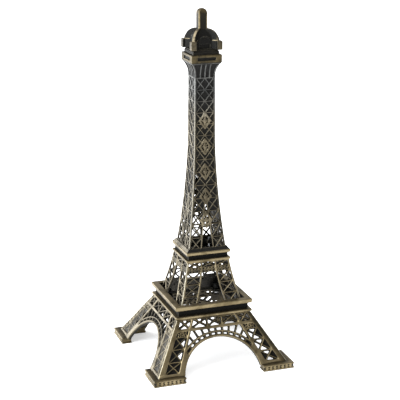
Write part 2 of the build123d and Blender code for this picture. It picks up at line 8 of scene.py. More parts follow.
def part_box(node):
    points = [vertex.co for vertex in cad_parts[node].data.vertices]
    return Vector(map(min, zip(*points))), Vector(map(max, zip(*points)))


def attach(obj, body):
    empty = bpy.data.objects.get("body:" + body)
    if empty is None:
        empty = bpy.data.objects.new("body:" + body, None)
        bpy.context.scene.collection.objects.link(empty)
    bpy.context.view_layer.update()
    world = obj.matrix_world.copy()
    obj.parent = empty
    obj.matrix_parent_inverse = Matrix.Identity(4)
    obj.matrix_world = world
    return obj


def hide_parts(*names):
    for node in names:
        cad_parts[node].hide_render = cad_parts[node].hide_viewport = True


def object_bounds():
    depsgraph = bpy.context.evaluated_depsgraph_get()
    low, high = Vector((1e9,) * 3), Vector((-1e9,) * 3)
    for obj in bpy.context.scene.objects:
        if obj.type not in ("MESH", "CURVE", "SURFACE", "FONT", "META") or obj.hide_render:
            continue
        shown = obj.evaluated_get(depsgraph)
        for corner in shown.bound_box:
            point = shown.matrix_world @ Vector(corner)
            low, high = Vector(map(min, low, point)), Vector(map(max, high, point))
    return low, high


# The looks of the souvenir lattice tower. Shapes are drawn in millimetres in the frame's own
# axes and are turned into metres when their mesh is made. "half" is a half width of the tower.
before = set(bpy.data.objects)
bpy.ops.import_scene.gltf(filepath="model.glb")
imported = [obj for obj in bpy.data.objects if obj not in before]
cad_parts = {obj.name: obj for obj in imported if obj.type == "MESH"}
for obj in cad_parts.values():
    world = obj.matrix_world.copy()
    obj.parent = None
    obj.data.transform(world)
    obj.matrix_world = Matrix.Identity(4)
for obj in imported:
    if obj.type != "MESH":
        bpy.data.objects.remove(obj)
cad_low, cad_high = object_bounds()

MM = 0.001
SIDES = ("front", "right", "back", "left")
CORNERS = ("front_left", "front_right", "back_right", "back_left")


def limits(node):
    """Lowest and highest corner of a CAD node, in millimetres."""
    low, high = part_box(node)
    return Vector(low) / MM, Vector(high) / MM


# ---- sizes from the frame ----
foot_low, foot_high = limits("foot_front_left")
base_low = limits("base_panel_front")[0]
plate_low = limits("first_platform_plate")[0]
collar_high = limits("first_platform_collar")[1]
middle_low, middle_high = limits("middle_panel_left")
upper_collar_high = limits("second_platform_collar")[1]
skirt_low, skirt_high = limits("shaft_skirt")
shaft_low, shaft_high = limits("shaft_panel_left")
neck_low, neck_high = limits("crown_neck")
gallery_low, gallery_high = limits("crown_gallery")
step_low, step_high = limits("lantern_step")
lantern_low, lantern_high = limits("lantern_dome")
mast_high = limits("mast")[1]

# ---- sizes of the casting's detail ----
LEAN = math.radians(31.6)
GROUND_HALF = -base_low.y + foot_high.z * math.tan(LEAN)
BASE_DEPTH = 4.0
ARCH_RADIUS = 43.0
ARCH_CENTRE = 1.0
ARCH_PITCH = 8.3
ARCH_RING = (45.0, 49.0)
BAND = (45.6, 48.4)
LEG_ROWS = (9.4, 19.2, 30.4, 41.0)
POST_AT = 8.2
STRIP_CROSSES = 5.2
OPEN_WEB = -2.5
SHALLOW_WEB = -1.0

MIDDLE_KNEE = (28.8, 88.5)
MIDDLE_DEPTH = 2.6
MIDDLE_ROWS = (65.0, 77.2, 89.0, 101.0)
FRIEZE = (101.0, 106.5)
FRIEZE_COUNT = 13
WEB_TOP = 72.0
WEB_EYE = (20.5, 69.0)
EYE_HALF = 0.7
WEB_REACH = 31.0
LUG_INNER = 25.5
LUG_OUTER = 32.3
LUG_BACK = 34.8
LUG_TALL = 6.0

SHAFT_KNEES = ((15.6, 173.0), (11.6, 240.0))
SHAFT_DEPTH = 2.2
ROW_RUNS = ((6, 14.1), (2, 13.6), (6, 12.15))
CORNER_RIB = 1.9
LEGS_MEET = 182.0
LEG_SPREAD = 0.114
ORNAMENTS = (157.0, 182.5, 209.0, 236.0, 264.0)
ORNAMENT_SIZE = (11.6, 16.0)
FRONT_BLIND = ((165.4, 208.7), (165.4, 165.4))
BACK_BLIND = ((208.7, 208.7), (208.7, 208.7))
SIDE_BLIND = ((152.0, 152.0), (152.0, 152.0))

FOOT_WIDE = 11.6
FOOT_LOZENGES = 7
SKIRT_WALL = 3.2
SKIRT_TOP = (21.9, 21.2)
NECK_HALF = 11.2
NECK_FLARE = 2.2
NECK_RIB = ((-0.85, 2), (-0.75, 0.35), (-0.35, 0), (0.35, 0), (0.75, 0.35), (0.85, 2))
BLOCK_TALL = 9.3
HOOP_RISE = 7.4
MAST_DOME = 5.4

EDGE_BEVEL = 0.25
CORNER_ROUND = 0.8
# How much light is painted on the bars' side walls and on the faces that look into the tower.
WALL_PAINTED_LIGHT = 0.6
INSIDE_PAINTED_LIGHT = 0.5

# How fine the skins of the castings are, and what share of their faces is kept.
BASE_VOXEL = 0.42
PANEL_VOXEL = 0.34
PANEL_KEPT = 0.42
SOLID_VOXEL = 0.3


# ---- drawing on a flat face: x across, y up, z out of the face ----
def skin(bm, rings, closed=False):
    """Joins rings of points into a closed tube, with end caps unless it closes on itself."""
    made = [[bm.verts.new(point) for point in ring] for ring in rings]
    pairs = list(zip(made, made[1:]))
    if closed:
        pairs.append((made[-1], made[0]))
    for a, b in pairs:
        for i in range(len(a)):
            j = (i + 1) % len(a)
            bm.faces.new((a[i], a[j], b[j], b[i]))
    if not closed:
        bm.faces.new(made[0])
        bm.faces.new(made[-1])


def strip(bm, path, width, front, back, bevel=EDGE_BEVEL, closed=False):
    """A bar along a path on the face, with a flat back and a bevelled front."""
    count = len(path)
    rings = []
    for i, (x, y) in enumerate(path):
        before = path[i - 1] if i or closed else path[0]
        after = path[(i + 1) % count] if i < count - 1 or closed else path[-1]
        run = math.dist(before, after)
        across = ((before[1] - after[1]) / run, (after[0] - before[0]) / run)
        half = width / 2
        profile = ((-half, back), (-half, front - bevel), (bevel - half, front),
                   (half - bevel, front), (half, front - bevel), (half, back))
        rings.append([(x + s * across[0], y + s * across[1], depth) for s, depth in profile])
    skin(bm, rings, closed)


def plate(bm, outline, front, back):
    """A flat-backed plate with the given outline."""
    skin(bm, [[(x, y, back) for x, y in outline], [(x, y, front) for x, y in outline]])


def on_line(a, b, height):
    t = (height - a[1]) / (b[1] - a[1])
    return (a[0] + t * (b[0] - a[0]), height)


def flip(path, sign):
    return [(sign * x, y) for x, y in path]


def spaced(low, high, count):
    """Evenly spaced values from low to high."""
    return [low + (high - low) * i / count for i in range(count + 1)]


def line(a, b, steps):
    return list(zip(spaced(a[0], b[0], steps), spaced(a[1], b[1], steps)))


def level_line(reach, y):
    """A level line over the middle of a face."""
    return [(-reach, y), (reach, y)]


def middle_quad(half_low, half_high, low, high):
    """Four corners that lie evenly about the middle of a face."""
    return [(-half_low, low), (half_low, low), (half_high, high), (-half_high, high)]


def arc(centre, radius, start, end, steps, squash=1.0):
    """Points on a circle or an ellipse, with angles in degrees from straight up, clockwise."""
    angles = [math.radians(angle) for angle in spaced(start, end, steps)]
    return [(centre[0] + radius * math.sin(a), centre[1] + radius * squash * math.cos(a)) for a in angles]


def ellipse(centre, wide, tall, steps=14):
    return arc(centre, wide, 0, 360, steps, tall / wide)[:-1]


def bar(bm, path, width, front, back, foot=1.1):
    """A lattice bar: a narrow raised strip on a wider foot that is set back."""
    strip(bm, path, width, front, back, 0.3)
    strip(bm, path, width + foot, front - 1.0, back, 0.45)


def x_bars(bm, corners, width, front, back, foot):
    """The two diagonals of a four-sided cell. The rising one lies a little further forward."""
    bar(bm, line(corners[0], corners[2], 4), width, front, back, foot)
    bar(bm, line(corners[1], corners[3], 4), width, front - 0.3, back, foot)


def triangles(corners):
    """The four triangles between an X and its cell: below, outer side, above, inner side."""
    a, b, c, d = corners
    rx, ry, sx, sy = c[0] - a[0], c[1] - a[1], d[0] - b[0], d[1] - b[1]
    t = ((b[0] - a[0]) * sy - (b[1] - a[1]) * sx) / (rx * sy - ry * sx)
    middle = (a[0] + t * rx, a[1] + t * ry)
    return [(corners[i], corners[(i + 1) % 4], middle) for i in range(4)]


def webs(bm, corners, closed, front, back):
    """Thin sheets that close the named triangles of a cell from behind."""
    for i in closed:
        plate(bm, triangles(corners)[i], front, back)


# ---- from drawing to casting ----
def read(items, name, size, kind=float):
    values = np.empty(len(items) * size, kind)
    items.foreach_get(name, values)
    return values.reshape(-1, size) if size > 1 else values


def add_object(name, data):
    thing = bpy.data.objects.new(name, data)
    bpy.context.collection.objects.link(thing)
    return thing


def applied(mesh, kind, **settings):
    """The mesh with one modifier applied."""
    piece = add_object("work", mesh)
    modifier = piece.modifiers.new(kind, kind)
    for key, value in settings.items():
        setattr(modifier, key, value)
    result = bpy.data.meshes.new_from_object(piece.evaluated_get(bpy.context.evaluated_depsgraph_get()))
    bpy.data.objects.remove(piece)
    bpy.data.meshes.remove(mesh)
    return result


def melt(bm, voxel):
    """Joins overlapping closed shapes into one skin with soft edges, as a casting has."""
    bmesh.ops.recalc_face_normals(bm, faces=bm.faces)
    mesh = bpy.data.meshes.new("melt")
    bm.to_mesh(mesh)
    bm.free()
    mesh = applied(mesh, "REMESH", mode="VOXEL", voxel_size=voxel)
    return applied(mesh, "SMOOTH", factor=0.5, iterations=2)


def convexity(mesh):
    """How far each point stands out from its neighbours: positive on edges, negative in corners."""
    places = read(mesh.vertices, "co", 3)
    normals = read(mesh.vertices, "normal", 3)
    a, b = read(mesh.edges, "vertices", 2, np.int32).T
    gap = places[b] - places[a]
    gap /= np.maximum(np.linalg.norm(gap, axis=1), 1e-9)[:, None]
    count = len(places)
    degree = np.maximum(np.bincount(a, minlength=count) + np.bincount(b, minlength=count), 1)
    lift_a = np.einsum("ij,ij->i", gap, normals[a])
    lift_b = np.einsum("ij,ij->i", gap, normals[b])
    bend = (np.bincount(b, lift_b, count) - np.bincount(a, lift_a, count)) / degree
    return (np.bincount(a, bend[b], count) + np.bincount(b, bend[a], count) + bend * degree) / degree / 2


def kept_values(mesh, name):
    return read(mesh.attributes[name].data, "value", 1)


def keep_values(mesh, name, values):
    """Stores a value from 0 to 1 at each point, in place of an older one of the same name."""
    attribute = mesh.attributes.get(name) or mesh.attributes.new(name, "FLOAT", "POINT")
    attribute.data.foreach_set("value", np.clip(values, 0, 1).astype(np.float32))


def smoothstep(low, high, values):
    t = np.clip((values - low) / (high - low), 0, 1)
    return t * t * (3 - 2 * t)


def move_points(mesh, places):
    mesh.vertices.foreach_set("co", places.astype(np.float32).ravel())
    mesh.update()


def mitred(mesh):
    """Keeps only the front quarter, between the two vertical mitre planes, and closes the cuts."""
    bm = bmesh.new()
    bm.from_mesh(mesh)
    for sign in (1, -1):
        geometry = bm.verts[:] + bm.edges[:] + bm.faces[:]
        bmesh.ops.bisect_plane(bm, geom=geometry, plane_co=(0, 0, 0), plane_no=(sign, 1, 0),
                               clear_outer=True)
        bmesh.ops.holes_fill(bm, edges=[edge for edge in bm.edges if edge.is_boundary])
    bmesh.ops.triangulate(bm, faces=[face for face in bm.faces if len(face.verts) > 4])
    bm.to_mesh(mesh)
    bm.free()
    return mesh


def rounded_corners(mesh, half_at):
    """Rounds the tower's corner edges and returns how near each point is to such an edge."""
    places = read(mesh.vertices, "co", 3)
    half = half_at(places[:, 2])
    inward_x = np.maximum(CORNER_ROUND - (half - np.abs(places[:, 0])), 0)
    inward_y = np.maximum(CORNER_ROUND - (half + places[:, 1]), 0)
    reach = np.hypot(inward_x, inward_y)
    over = (inward_x > 0) & (inward_y > 0) & (reach > CORNER_ROUND)
    scale = np.where(over, CORNER_ROUND / np.maximum(reach, 1e-9), 1.0)
    places[:, 0] -= np.sign(places[:, 0]) * inward_x * (1 - scale)
    places[:, 1] += inward_y * (1 - scale)
    move_points(mesh, places)
    return smoothstep(0.2, 1.0, np.minimum(inward_x, inward_y) / CORNER_ROUND * 2)


def finish_piece(mesh, node, material, slot="antique_bronze"):
    """A piece in metres that stands for its CAD node."""
    name = node.replace("_panel", "") + "_cast"
    mesh.transform(Matrix.Scale(MM, 4))
    mesh.name = name
    mesh.materials.clear()
    mesh.materials.append(material)
    mesh.shade_smooth()
    piece = add_object(name, mesh)
    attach(piece, "root")
    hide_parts(node)


def face_casting(bm, voxel, place, half_at, ratio, corner_wear_and_highlight=1.0):
    """Melts a face drawing, bends it into place and mitres it. Keeps depth, wear and painted light for the
    finish.
    """
    mesh = melt(bm, voxel)
    edge = smoothstep(0.06, 0.42, convexity(mesh))
    places = read(mesh.vertices, "co", 3)
    depth, facing = places[:, 2], read(mesh.vertices, "normal", 3)[:, 2]
    # Painted light: the bars' side walls and the faces that look into the tower are painted lighter, as lit
    # surfaces.
    walls = WALL_PAINTED_LIGHT * smoothstep(0.8, 0.3, np.abs(facing)) * smoothstep(-2.4, -0.8, depth)
    walls = np.maximum(walls, INSIDE_PAINTED_LIGHT * smoothstep(-0.2, -0.7, facing))
    keep_values(mesh, "relief", np.maximum(smoothstep(-1.6, -0.15, depth), walls))
    keep_values(mesh, "edge", edge * smoothstep(-1.1, -0.4, depth))
    move_points(mesh, place(places))
    mesh = mitred(mesh)
    # Edge wear and a painted highlight along the tower's corner edges.
    corner = rounded_corners(mesh, half_at)
    keep_values(mesh, "edge", np.maximum(kept_values(mesh, "edge"), corner * corner_wear_and_highlight))
    return applied(mesh, "DECIMATE", ratio=ratio)


def turned(mesh, quarter):
    copy = mesh.copy()
    copy.transform(Matrix.Rotation(math.radians(90 * quarter), 4, "Z"))
    return copy


def solid_casting(bm, voxel, relief_at, ratio):
    """Melts a shape that is already in place. relief_at(places, normals) says where it is rubbed, and on some
    pieces where light is painted.
    """
    mesh = melt(bm, voxel)
    places = read(mesh.vertices, "co", 3)
    normals = read(mesh.vertices, "normal", 3)
    keep_values(mesh, "relief", relief_at(places, normals))
    keep_values(mesh, "edge", smoothstep(0.06, 0.4, convexity(mesh)))
    return applied(mesh, "DECIMATE", ratio=ratio)


# ---- base tier ----
def slope(z):
    """Distance up the leaning face at height z."""
    return z / math.cos(LEAN)


def base_half(z):
    return GROUND_HALF - z * math.tan(LEAN)


def base_place(places):
    x, up, out = places.T
    y = -GROUND_HALF + up * math.sin(LEAN) - out * math.cos(LEAN)
    z = up * math.cos(LEAN) + out * math.sin(LEAN)
    return np.column_stack((x, y, z))


def scrolls(bm, centre, wide, tall):
    """A small panel of paired scrolls round a lozenge."""
    width, front, back, bevel = 0.75, -0.35, -2.4, 0.25
    for side in (1, -1):
        for rise in (1, -1):
            middle = (centre[0] + side * wide * 0.27, centre[1] + rise * tall * 0.22)
            curl = []
            for i in range(6):
                part = arc((0, 0), wide * 0.17 * (1 - 0.09 * i), 60 * i, 60 * (i + 1), 3)[:-1]
                curl += [(middle[0] + side * x, middle[1] + rise * y) for x, y in part]
            strip(bm, curl, width, front, back, bevel)
    strip(bm, ellipse(centre, wide * 0.09, tall * 0.3, 8), width, front, back, bevel, closed=True)


def arch(radius, start, end, steps):
    """Points round the centre of the arch."""
    return arc((0, ARCH_CENTRE), radius, start, end, steps)


def arch_point(radius, angle):
    return arch(radius, angle, angle, 1)[0]


def base_cell(a, b, low, high):
    """The four corners of the opening between two lines, from one height to another."""
    return [on_line(*a, low), on_line(*b, low), on_line(*b, high), on_line(*a, high)]


BASE_RIB_OUTER = ((25.7, slope(55.6)), (49.8, slope(8.1)))
BASE_RIB_INNER = ((23.2, slope(55.4)), (37.7, slope(25.3)))
BASE_CORNER = ((36.7, slope(57.0)), (64.6, slope(9.0)))
EVERY = (0, 1, 2, 3)


def base_side(sign, bm, closed_rows, web):
    """One leg of a base face and its half of the truss and the arch. web is the depth of its webs.

    A leg with shallow webs has small crosses down its outer strip as well.
    """
    back, top, foot = -BASE_DEPTH, slope(plate_low.z), slope(foot_high.z) - 1.0
    rib, corner = BASE_RIB_OUTER, BASE_CORNER
    edge = [(base_half(z) + 3, slope(z)) for z in (foot_high.z - 1, plate_low.z)]
    inside = [on_line(*corner, top), on_line(*corner, foot)]
    crossed = web == SHALLOW_WEB
    plate(bm, flip(inside + edge, sign), -0.9 if crossed else 0.0, back)
    if crossed:
        rim = [(base_half(z) - 0.6, slope(z)) for z in (plate_low.z, foot_high.z - 1)]
        strip(bm, flip(rim, sign), 1.4, 0.0, back)
        strip(bm, flip(inside, sign), 1.0, -0.1, back)
        levels = [slope(foot_high.z + STRIP_CROSSES * i) for i in range(10)]
        for low, high in zip(levels, levels[1:]):
            x_bars(bm, flip(base_cell(corner, rim, low, high), sign), 0.9, 0.0, back, 0.6)
    rail = [(on_line(*rib, level)[0] - 1.3, level) for level in (top, foot)]
    strip(bm, flip(rail, sign), 2.6, 0.3, back, 0.45)
    merge = [point for point in arch(ARCH_RADIUS + 0.6, 53, 80, 8) if point[1] > foot]
    merge += [(merge[-1][0], foot), on_line(*rib, foot), on_line(*rib, slope(29))]
    plate(bm, flip(merge, sign), 0.25, back)
    rows = [slope(z) for z in LEG_ROWS]
    for low, high, closed in zip(rows, rows[1:], closed_rows):
        cell = flip(base_cell(rib, corner, low, high), sign)
        x_bars(bm, cell, 1.0, -0.3, back, 1.3)
        webs(bm, cell, closed, web, back)
        for i in set(EVERY) - set(closed):
            strip(bm, triangles(cell)[i], 2.4, -1.7, back, 0.5, closed=True)
    for level in rows[1:]:
        bar(bm, flip([on_line(*rib, level), on_line(*corner, level)], sign), 1.0, -0.35, back)
    level = slope(foot_high.z + 1.2)
    sill = [(ARCH_RADIUS + 0.6, level), (base_half(foot_high.z) + 2, level)]
    strip(bm, flip(sill, sign), 3.0, 0.35, back, 0.4)
    low, high = rows[-1], slope(BAND[0])
    plate(bm, flip(base_cell(rib, corner, low, high), sign), -1.7, back)
    middle = (low + high) / 2
    at = (on_line(*rib, middle)[0] + on_line(*corner, middle)[0]) / 2
    scrolls(bm, (sign * at, middle + 0.3), 11.0, 5.6)
    low, high = slope(BAND[1]), top - 1.0
    x_bars(bm, flip(base_cell(rib, corner, low, high), sign), 1.0, -0.4, back, 1.7)
    post = ((POST_AT, low), (POST_AT, high))
    x_bars(bm, flip(base_cell(post, BASE_RIB_INNER, low, high), sign), 1.0, -0.4, back, 1.5)
    bar(bm, flip([(POST_AT, low - 1), (POST_AT, high + 1)], sign), 1.1, -0.4, back, 1.3)
    for step in range(1, 7):
        angle = step * ARCH_PITCH * sign
        inner, outer = (arch_point(radius, angle) for radius in ARCH_RING)
        bar(bm, [inner, outer], 1.1, -0.6, back, 2.0)
        if step < 5:
            bar(bm, [outer, strut_top(angle)], 1.0, -0.7, back, 1.4)
    blind = arch(ARCH_RING[0], 42, 52, 4) + [on_line(*BASE_RIB_INNER, slope(z)) for z in (27, 34)]
    plate(bm, flip(blind, sign), -2.2, back)


def strut_top(angle):
    """Where a radial strut of the arch ends, under the band or beside the leg's rib."""
    ceiling = slope(BAND[0]) + 0.6
    lean = math.radians(angle)
    reach = (ceiling - ARCH_CENTRE) / math.cos(lean)
    (x_top, up_top), (x_low, up_low) = BASE_RIB_INNER
    if reach * abs(math.sin(lean)) > on_line((x_top, up_top), (x_low, up_low), ceiling)[0]:
        fall = (x_low - x_top) / (up_low - up_top)
        rise = (x_top - fall * up_top + fall * ARCH_CENTRE) / (abs(math.tan(lean)) - fall)
        reach = rise / math.cos(lean) + 0.8
    return arch_point(reach, angle)


def base_face(closed_left, closed_right, web=OPEN_WEB):
    """A base face. closed_left and closed_right list the blind triangles of each leg, row by row."""
    bm = bmesh.new()
    base_side(-1, bm, closed_left, web)
    base_side(1, bm, closed_right, web)
    back, top = -BASE_DEPTH, slope(plate_low.z)
    strip(bm, arch(ARCH_RADIUS + 1.1, -81, 81, 72), 2.2, 0.3, back, 0.45)
    strip(bm, arch(ARCH_RADIUS + 1.6, -60, 60, 54), 2.8, -1.1, back)
    for width, front in ((1.1, -0.1), (2.3, -1.1)):
        strip(bm, arch(ARCH_RING[1], -53, 53, 48), width, front, back, 0.3)
    bar(bm, [arch_point(ARCH_RING[0], 0), (0, slope(BAND[0]) + 0.6)], 1.0, -0.7, back, 1.6)
    band = slope(sum(BAND) / 2)
    reach = on_line(*BASE_CORNER, band)[0] + 1
    strip(bm, level_line(reach, band), slope(BAND[1] - BAND[0]) - 0.3, 0.05, back, 0.35)
    strip(bm, level_line(base_half(plate_low.z), top - 0.4), 2.4, -0.5, back)
    x_bars(bm, middle_quad(POST_AT, POST_AT, slope(BAND[1]), top - 1.0), 1.0, -0.4, back, 1.5)
    return bm


# ---- middle tier ----
def circle_through(a, b, c):
    """Centre and radius of the circle through three points given as (half, z)."""
    mid_ab, mid_bc = ((a[0] + b[0]) / 2, (a[1] + b[1]) / 2), ((b[0] + c[0]) / 2, (b[1] + c[1]) / 2)
    rows = np.array([[b[0] - a[0], b[1] - a[1]], [c[0] - b[0], c[1] - b[1]]])
    centre = np.linalg.solve(rows, [rows[0] @ mid_ab, rows[1] @ mid_bc])
    return centre, math.dist(centre, a)


middle_circle = circle_through((-middle_low.x, middle_low.z), MIDDLE_KNEE,
                               (MIDDLE_DEPTH - middle_high.x, middle_high.z))


def middle_half(z):
    centre, radius = middle_circle
    return centre[0] - np.sqrt(radius ** 2 - (np.clip(z, 50, 125) - centre[1]) ** 2)


def curved_place(half_at):
    def place(places):
        x, z, out = places.T
        return np.column_stack((x, -half_at(z) - out, z))
    return place


def middle_rib(z):
    drop = middle_high.z - z
    return 7.7 + 0.05 * drop + 0.0036 * drop ** 2


def middle_corner(z):
    drop = middle_high.z - z
    return 21.7 + 0.17 * drop + 0.0016 * drop ** 2


def middle_cell(low, high):
    return [(middle_rib(low), low), (middle_corner(low), low),
            (middle_corner(high), high), (middle_rib(high), high)]


def middle_side(sign, bm):
    """One leg of a middle face."""
    back, foot, top = -MIDDLE_DEPTH, middle_low.z, middle_high.z
    steps = spaced(foot, top, 12)
    strip(bm, flip([(middle_rib(z), z) for z in steps], sign), 1.5, 0.35, back, 0.35)
    inner = [(middle_corner(z), z) for z in steps]
    outer = [(float(middle_half(z)) + 2, z) for z in reversed(steps)]
    plate(bm, flip(inner + outer, sign), 0.0, back)
    for low, high in zip(MIDDLE_ROWS, MIDDLE_ROWS[1:]):
        x_bars(bm, flip(middle_cell(low, high), sign), 0.9, -0.25, back, 0.9)
    for level in MIDDLE_ROWS[:-1]:
        bar(bm, flip([(middle_rib(level), level), (middle_corner(level), level)], sign), 0.9, -0.3, back, 0.9)
    x_bars(bm, flip(middle_cell(FRIEZE[1], top - 0.8), sign), 0.9, -0.35, back, 1.5)
    sill = foot + 1.2
    strip(bm, flip([(middle_rib(foot), sill), (middle_corner(foot), sill)], sign), 2.4, -0.2, back)


def middle_face(closed_below=False):
    """A middle face. closed_below adds the web across the foot of the opening between the legs."""
    bm = bmesh.new()
    middle_side(-1, bm)
    middle_side(1, bm)
    back, top = -MIDDLE_DEPTH, middle_high.z
    low, high = FRIEZE
    reach = middle_corner(low) + 0.5
    plate(bm, middle_quad(reach, reach, low, high), -1.45, back)
    for level in (low + 0.2, high - 0.2):
        strip(bm, level_line(reach, level), 0.7, -0.3, back, 0.2)
    for i in range(FRIEZE_COUNT):
        x = (i - (FRIEZE_COUNT - 1) / 2) * 2 * reach / FRIEZE_COUNT
        strip(bm, ellipse((x, (low + high) / 2), 1.3, 1.5, 10), 0.6, -0.4, -1.9, 0.2, closed=True)
        strip(bm, [(x - 0.2, low + 0.4), (x + 0.2, high - 0.4)], 0.5, -0.55, -1.9, 0.15)
    strip(bm, level_line(middle_corner(top) + 0.5, top - 0.5), 1.4, -0.3, back)
    low, high = FRIEZE[1], top - 0.8
    x_bars(bm, middle_quad(middle_rib(low), middle_rib(high), low, high), 0.9, -0.35, back, 1.5)
    if closed_below:
        web, eye = -1.7, WEB_EYE[0]
        under, over = WEB_EYE[1] - EYE_HALF, WEB_EYE[1] + EYE_HALF
        for low, high in ((middle_low.z, under), (over, WEB_TOP)):
            plate(bm, middle_quad(middle_corner(low), middle_corner(high), low, high), web, back)
        spans = ((EYE_HALF - eye, eye - EYE_HALF), (eye + EYE_HALF, WEB_REACH), (-WEB_REACH, -eye - EYE_HALF))
        for near, far in spans:
            plate(bm, [(near, under), (far, under), (far, over), (near, over)], web, back)
        for sign in (1, -1):
            x_bars(bm, flip(middle_cell(WEB_TOP, MIDDLE_ROWS[1]), sign), 1.0, -0.3, back, 0.9)
    return bm


# ---- shaft ----
shaft_circle = circle_through((-shaft_low.x, shaft_low.z), *SHAFT_KNEES)


def shaft_half(z):
    centre, radius = shaft_circle
    knee, top = SHAFT_KNEES[1], (SHAFT_DEPTH - shaft_high.x, shaft_high.z)
    bent = centre[0] - np.sqrt(radius ** 2 - (np.clip(z, 115, knee[1]) - centre[1]) ** 2)
    rise = (z - knee[1]) / (top[1] - knee[1])
    return np.where(z > knee[1], knee[0] + rise * (top[0] - knee[0]), bent)


def leg_gap(z):
    return LEG_SPREAD * (LEGS_MEET - z)


def row_levels():
    levels = [shaft_low.z]
    for count, pitch in ROW_RUNS:
        levels += [levels[-1] + pitch * (i + 1) for i in range(count)]
    return levels


def shaft_side(sign, bm, blind_from):
    """One column of a shaft face: corner rib, inner rib, bars, crosses and webs.

    blind_from gives two heights: from the first one up only the triangles beside the corner rib are
    open, and from the second one up none are.
    """
    back, foot = -SHAFT_DEPTH, shaft_low.z
    levels = row_levels()
    steps = spaced(foot, shaft_high.z, 40)
    halves = [float(shaft_half(z)) for z in steps]
    inner = [(half - CORNER_RIB, z) for half, z in zip(halves, steps)]
    outer = [(half + 2, z) for half, z in zip(reversed(halves), reversed(steps))]
    plate(bm, flip(inner + outer, sign), 0.0, back)
    rib = line((leg_gap(foot) + 0.6, foot), (0.3, LEGS_MEET + 2), 8)
    bar(bm, flip(rib, sign), 1.1, -0.05, back, 0.6)
    for low, high in zip(levels, levels[1:]):
        inner_low, inner_high = (max(leg_gap(z) + 0.6, 0) for z in (low, high))
        corner_low, corner_high = (float(shaft_half(z)) - CORNER_RIB + 0.3 for z in (low, high))
        cell = flip([(inner_low, low), (corner_low, low), (corner_high, high), (inner_high, high)], sign)
        x_bars(bm, cell, 1.0, -0.15, back, 1.0)
        bar(bm, [cell[3], cell[2]], 0.95, -0.2, back, 1.0)
        if low > blind_from[0] - 1:
            webs(bm, cell, EVERY if low > blind_from[1] - 1 else (0, 2, 3), -1.35, back)
    sill = foot + 1.5
    strip(bm, flip([(0, sill), (float(shaft_half(sill)), sill)], sign), 3.0, -0.3, back)


def lozenge(wide, tall, centre):
    return [(0, centre - tall / 2), (wide / 2, centre), (0, centre + tall / 2), (-wide / 2, centre)]


def ornament(bm, centre):
    """A raised lozenge frame round a smaller solid one with a button."""
    back = -1.8
    corners = lozenge(*ORNAMENT_SIZE, centre)
    for a, b in zip(corners, corners[1:] + corners[:1]):
        reach = ((b[0] - a[0]) * 0.07, (b[1] - a[1]) * 0.07)
        ends = [(a[0] - reach[0], a[1] - reach[1]), (b[0] + reach[0], b[1] + reach[1])]
        strip(bm, ends, 2.2, 0.35, back, 0.4)
    strip(bm, [(0, centre - 8), (0, centre + 8)], 1.4, 0.1, back)
    plate(bm, lozenge(5.2, 7.4, centre), 0.3, back)
    plate(bm, ellipse((0, centre), 1.0, 1.0), 0.9, -1.0)


def shaft_face(blind_from, ornamented=False):
    """A shaft face. blind_from says from what heights its left and its right column are closed."""
    bm = bmesh.new()
    shaft_side(-1, bm, blind_from[0])
    shaft_side(1, bm, blind_from[1])
    levels = row_levels()[2:] if ornamented else row_levels()
    for low, high in zip(levels, levels[1:]):
        if leg_gap(high) > 1:
            cell = middle_quad(leg_gap(low), leg_gap(high), low, high)
            x_bars(bm, cell, 0.8, -0.3, -SHAFT_DEPTH, 0.7)
            bar(bm, [cell[3], cell[2]], 0.8, -0.25, -SHAFT_DEPTH, 0.7)
    if ornamented:
        for centre in ORNAMENTS:
            ornament(bm, centre)
    return bm


# ---- shapes that go round the axis ----
SQUARE = ((-1, -1), (1, -1), (1, 1), (-1, 1))
QUADRANTS = ((-1, -1), (-1, 1), (1, -1), (1, 1))


def square_sweep(bm, profile):
    """A closed profile of (half, z) points carried round the square, mitred at the corners."""
    skin(bm, [[(sx * half, sy * half, z) for half, z in profile] for sx, sy in SQUARE], closed=True)


def square_stack(bm, profile):
    """A solid of square sections, each given as (half, z)."""
    skin(bm, [[(sx * half, sy * half, z) for sx, sy in SQUARE] for half, z in profile])


def box(bm, corner, opposite):
    """An upright block between two opposite corners."""
    (x0, x1), (y0, y1), heights = (sorted(pair) for pair in zip(corner, opposite))
    skin(bm, [[(x0, y0, z), (x1, y0, z), (x1, y1, z), (x0, y1, z)] for z in heights])


def turned_block(bm, angle, rings):
    """A closed block of rings of points, turned round the axis by an angle in degrees."""
    spin = Matrix.Rotation(math.radians(angle), 3, "Z")
    skin(bm, [[spin @ Vector(point) for point in ring] for ring in rings])


def reach_at(places):
    """Half width of the upright square on which each point lies."""
    return np.max(np.abs(places[:, :2]), axis=1)


def outward(places, normals):
    """1 where a face looks away from the tower's axis or up, 0 where it looks inwards or down."""
    x, y = places[:, 0], places[:, 1]
    along = np.where(np.abs(x) > np.abs(y), np.sign(x) * normals[:, 0], np.sign(y) * normals[:, 1])
    return np.where(reach_at(places) > 1, np.maximum(along, normals[:, 2] * 0.8), normals[:, 2])


def rubbed_beyond(limit):
    """Rubbed on the outside and on top, but only further out than a limit. Inside it stays dark."""
    def rubbed(places, normals):
        beyond = smoothstep(limit - 0.6, limit + 0.4, reach_at(places))
        return smoothstep(-0.2, 0.7, outward(places, normals)) * beyond
    return rubbed


def rubbed_evenly(amount):
    def rubbed(places, normals):
        return np.full(len(places), amount)
    return rubbed


def skirt_lit_left(places, normals):
    """Painted light and shade: the left side of the skirt is painted a lit dull silver, and the front one is
    painted dark, as in shade.
    """
    return smoothstep(0.2, 0.6, -normals[:, 0]) * 0.85 + 0.1


